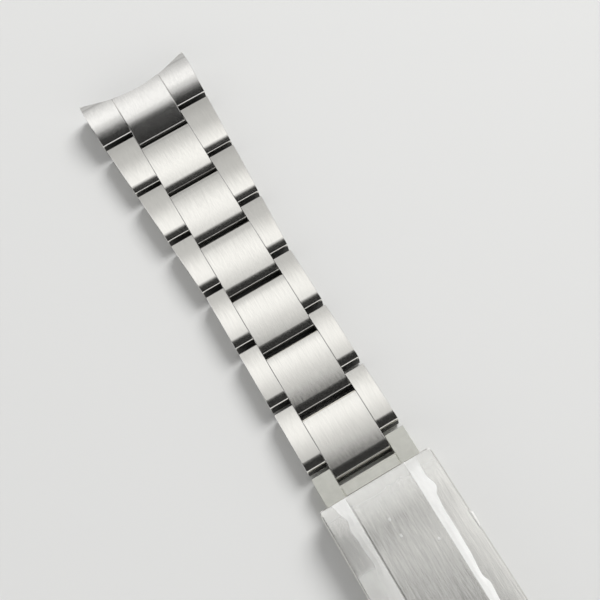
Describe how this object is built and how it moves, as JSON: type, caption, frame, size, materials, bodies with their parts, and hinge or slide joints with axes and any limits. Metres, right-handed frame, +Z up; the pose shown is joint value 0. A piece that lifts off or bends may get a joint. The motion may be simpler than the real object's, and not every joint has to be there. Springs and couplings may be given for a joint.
{
  "type": "link watch bracelet",
  "caption": "Steel link bracelet for a watch, with curved end links, tapering screwed links and a fold-over clasp with a sliding adjuster.",
  "frame": {"origin": "middle of the bracelet's box, at the level of the surface that it rests on", "axes": "+X along the straight bracelet from half A's end link to half B's, +Y across it, +Z up from the links' flat undersides to their visible tops"},
  "size_m": [0.1766, 0.02, 0.0053],
  "materials": {
    "outer_link_steel": "satin, brushed lengthwise, with narrow polished edges",
    "centre_link_steel": "satin, brushed lengthwise, with narrow polished edges",
    "end_link_steel": "satin, brushed lengthwise",
    "slide_steel": "matte, bead-blasted",
    "cover_steel": "satin, brushed lengthwise",
    "film": "clear thin protective film, lifted in places",
    "blade_steel": "stamped and polished",
    "pin_steel": "turned"
  },
  "bodies": {
    "lower_blade": {"lower_blade": "blade_steel", "snap_stud": "pin_steel", "fold_hinge_pin": "pin_steel", "blade_end_pin": "pin_steel"},
    "upper_blade": {"upper_blade": "blade_steel"},
    "cover": {"clasp_cover": "cover_steel", "cover_film": "film", "cover_hinge_pin": "pin_steel"},
    "slide": {"adjusting_slide": "slide_steel", "slide_hinge_pin": "pin_steel"},
    "row_a6": {"outer_link_left_a6": "outer_link_steel", "outer_link_right_a6": "outer_link_steel", "centre_link_a6": "centre_link_steel", "link_pins_a6": "pin_steel"},
    "row_a5": {"outer_link_left_a5": "outer_link_steel", "outer_link_right_a5": "outer_link_steel", "centre_link_a5": "centre_link_steel", "link_pins_a5": "pin_steel"},
    "row_a4": {"outer_link_left_a4": "outer_link_steel", "outer_link_right_a4": "outer_link_steel", "centre_link_a4": "centre_link_steel", "link_pins_a4": "pin_steel"},
    "row_a3": {"outer_link_left_a3": "outer_link_steel", "outer_link_right_a3": "outer_link_steel", "centre_link_a3": "centre_link_steel", "link_pins_a3": "pin_steel"},
    "row_a2": {"outer_link_left_a2": "outer_link_steel", "outer_link_right_a2": "outer_link_steel", "centre_link_a2": "centre_link_steel", "link_pins_a2": "pin_steel"},
    "row_a1": {"outer_link_left_a1": "outer_link_steel", "outer_link_right_a1": "outer_link_steel", "centre_link_a1": "centre_link_steel", "link_pins_a1": "pin_steel"},
    "end_a": {"end_link_a": "end_link_steel"},
    "row_b4": {"outer_link_left_b4": "outer_link_steel", "outer_link_right_b4": "outer_link_steel", "centre_link_b4": "centre_link_steel", "link_pins_b4": "pin_steel"},
    "row_b3": {"outer_link_left_b3": "outer_link_steel", "outer_link_right_b3": "outer_link_steel", "centre_link_b3": "centre_link_steel", "link_pins_b3": "pin_steel"},
    "row_b2": {"outer_link_left_b2": "outer_link_steel", "outer_link_right_b2": "outer_link_steel", "centre_link_b2": "centre_link_steel", "link_pins_b2": "pin_steel"},
    "row_b1": {"outer_link_left_b1": "outer_link_steel", "outer_link_right_b1": "outer_link_steel", "centre_link_b1": "centre_link_steel", "link_pins_b1": "pin_steel"},
    "end_b": {"end_link_b": "end_link_steel"}
  },
  "joints": [
    {"name": "fold", "type": "hinge", "parent": "lower_blade", "child": "upper_blade", "pos_m": [-0.003, 0, 0.0013], "axis": [0, -1, 0], "range_deg": [0, 165]},
    {"name": "cover_hinge", "type": "hinge", "parent": "upper_blade", "child": "cover", "pos_m": [0.0283, 0, 0.0024], "axis": [0, 1, 0], "range_deg": [0, 165]},
    {"name": "slide_travel", "type": "slide", "parent": "cover", "child": "slide", "axis": [-1, 0, 0], "range_m": [0, 0.008]},
    {"name": "row_a6_hinge", "type": "hinge", "parent": "slide", "child": "row_a6", "pos_m": [-0.0119, 0, 0.00175], "axis": [0, 1, 0], "range_deg": [-34, 5]},
    {"name": "row_a5_hinge", "type": "hinge", "parent": "row_a6", "child": "row_a5", "pos_m": [-0.0228, 0, 0.00175], "axis": [0, 1, 0], "range_deg": [-34, 5]},
    {"name": "row_a4_hinge", "type": "hinge", "parent": "row_a5", "child": "row_a4", "pos_m": [-0.0337, 0, 0.00175], "axis": [0, 1, 0], "range_deg": [-34, 5]},
    {"name": "row_a3_hinge", "type": "hinge", "parent": "row_a4", "child": "row_a3", "pos_m": [-0.0446, 0, 0.00175], "axis": [0, 1, 0], "range_deg": [-34, 5]},
    {"name": "row_a2_hinge", "type": "hinge", "parent": "row_a3", "child": "row_a2", "pos_m": [-0.0555, 0, 0.00175], "axis": [0, 1, 0], "range_deg": [-34, 5]},
    {"name": "row_a1_hinge", "type": "hinge", "parent": "row_a2", "child": "row_a1", "pos_m": [-0.0664, 0, 0.00175], "axis": [0, 1, 0], "range_deg": [-34, 5]},
    {"name": "end_a_hinge", "type": "hinge", "parent": "row_a1", "child": "end_a", "pos_m": [-0.0773, 0, 0.00175], "axis": [0, 1, 0], "range_deg": [-34, 5]},
    {"name": "row_b4_hinge", "type": "hinge", "parent": "lower_blade", "child": "row_b4", "pos_m": [0.0337, 0, 0.00175], "axis": [0, -1, 0], "range_deg": [-34, 5]},
    {"name": "row_b3_hinge", "type": "hinge", "parent": "row_b4", "child": "row_b3", "pos_m": [0.0446, 0, 0.00175], "axis": [0, -1, 0], "range_deg": [-34, 5]},
    {"name": "row_b2_hinge", "type": "hinge", "parent": "row_b3", "child": "row_b2", "pos_m": [0.0555, 0, 0.00175], "axis": [0, -1, 0], "range_deg": [-34, 5]},
    {"name": "row_b1_hinge", "type": "hinge", "parent": "row_b2", "child": "row_b1", "pos_m": [0.0664, 0, 0.00175], "axis": [0, -1, 0], "range_deg": [-34, 5]},
    {"name": "end_b_hinge", "type": "hinge", "parent": "row_b1", "child": "end_b", "pos_m": [0.0773, 0, 0.00175], "axis": [0, -1, 0], "range_deg": [-34, 5]}
  ],
  "couplings": [
    {"joint": "cover_hinge", "follows": "fold", "ratio": 1}
  ]
}
